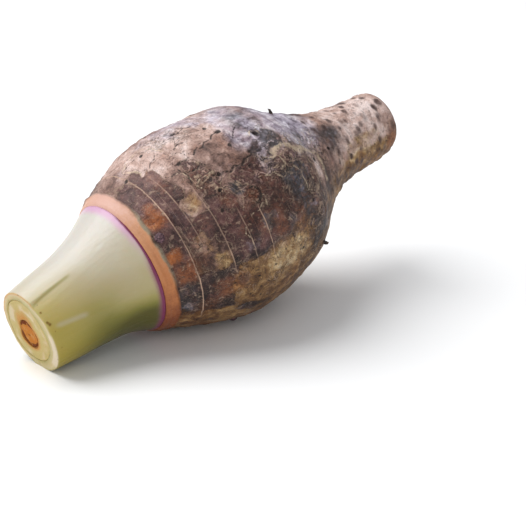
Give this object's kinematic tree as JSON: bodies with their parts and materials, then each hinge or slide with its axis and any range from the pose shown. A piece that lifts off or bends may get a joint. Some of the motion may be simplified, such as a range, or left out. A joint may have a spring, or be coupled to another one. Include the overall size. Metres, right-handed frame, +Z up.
{
  "type": "taro root",
  "caption": "Whole raw taro: a ringed, bark-skinned corm tapering to a stub, with the cut-off, wrapped leaf bases on its crown, lying on its side.",
  "frame": {"origin": "on the surface the taro lies on, under the centre of its bounding box", "axes": "+X from the leaf cut towards the stub, +Z up; the growing axis lies in the XZ plane and rises towards the stub"},
  "size_m": [0.2536, 0.1178, 0.1118],
  "materials": {
    "skin": "rough, papery brown skin, some of it rubbed off",
    "outer_leaf": "smooth, slightly waxy, cream to olive green",
    "inner_leaf": "moist cut face, cream",
    "heart_leaf": "moist cut face, browned at the rim"
  },
  "bodies": {
    "root": {"corm": "skin", "outer_leaf_base": "outer_leaf", "inner_leaf_base": "inner_leaf", "heart_leaf_base": "heart_leaf"}
  },
  "joints": []
}
